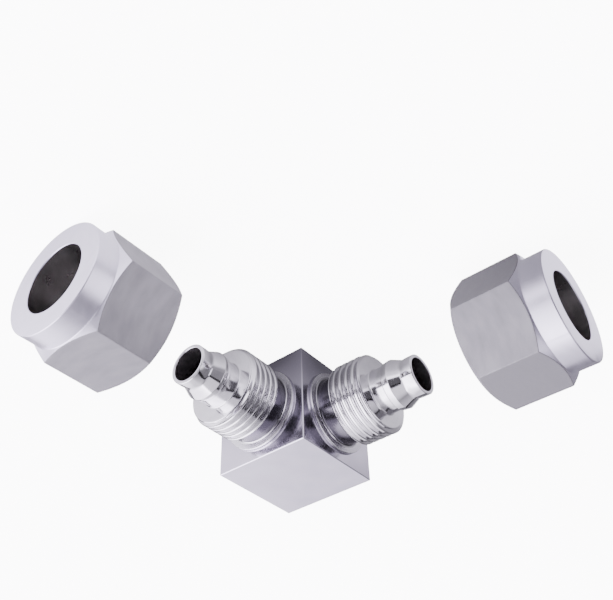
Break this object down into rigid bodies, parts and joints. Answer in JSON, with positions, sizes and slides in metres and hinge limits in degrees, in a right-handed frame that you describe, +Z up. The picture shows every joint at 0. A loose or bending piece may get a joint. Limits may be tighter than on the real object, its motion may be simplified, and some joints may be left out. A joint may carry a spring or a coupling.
{
  "type": "elbow compression union",
  "caption": "Right-angle stainless union: a square block with two threaded, barbed nipples for push-on tube, and a hexagon union nut drawn off each.",
  "frame": {"origin": "middle of the block's underside, below the point where the two nipple axes cross", "axes": "+X out along one nipple, +Y out along the other, +Z up, square to both"},
  "size_m": [0.064, 0.064, 0.019],
  "materials": {
    "turned_steel": "bright turned stainless steel, satin on the milled block",
    "nut_steel": "satin stainless steel with turned cones and collar"
  },
  "bodies": {
    "elbow": {"elbow_body": "turned_steel"},
    "right_nut": {"right_nut": "nut_steel"},
    "left_nut": {"left_nut": "nut_steel"}
  },
  "joints": [
    {"name": "right_nut_travel", "type": "slide", "parent": "elbow", "child": "right_nut", "axis": [-1, 0, 0], "range_m": [0, 0.0275]},
    {"name": "left_nut_travel", "type": "slide", "parent": "elbow", "child": "left_nut", "axis": [0, -1, 0], "range_m": [0, 0.0275]}
  ]
}
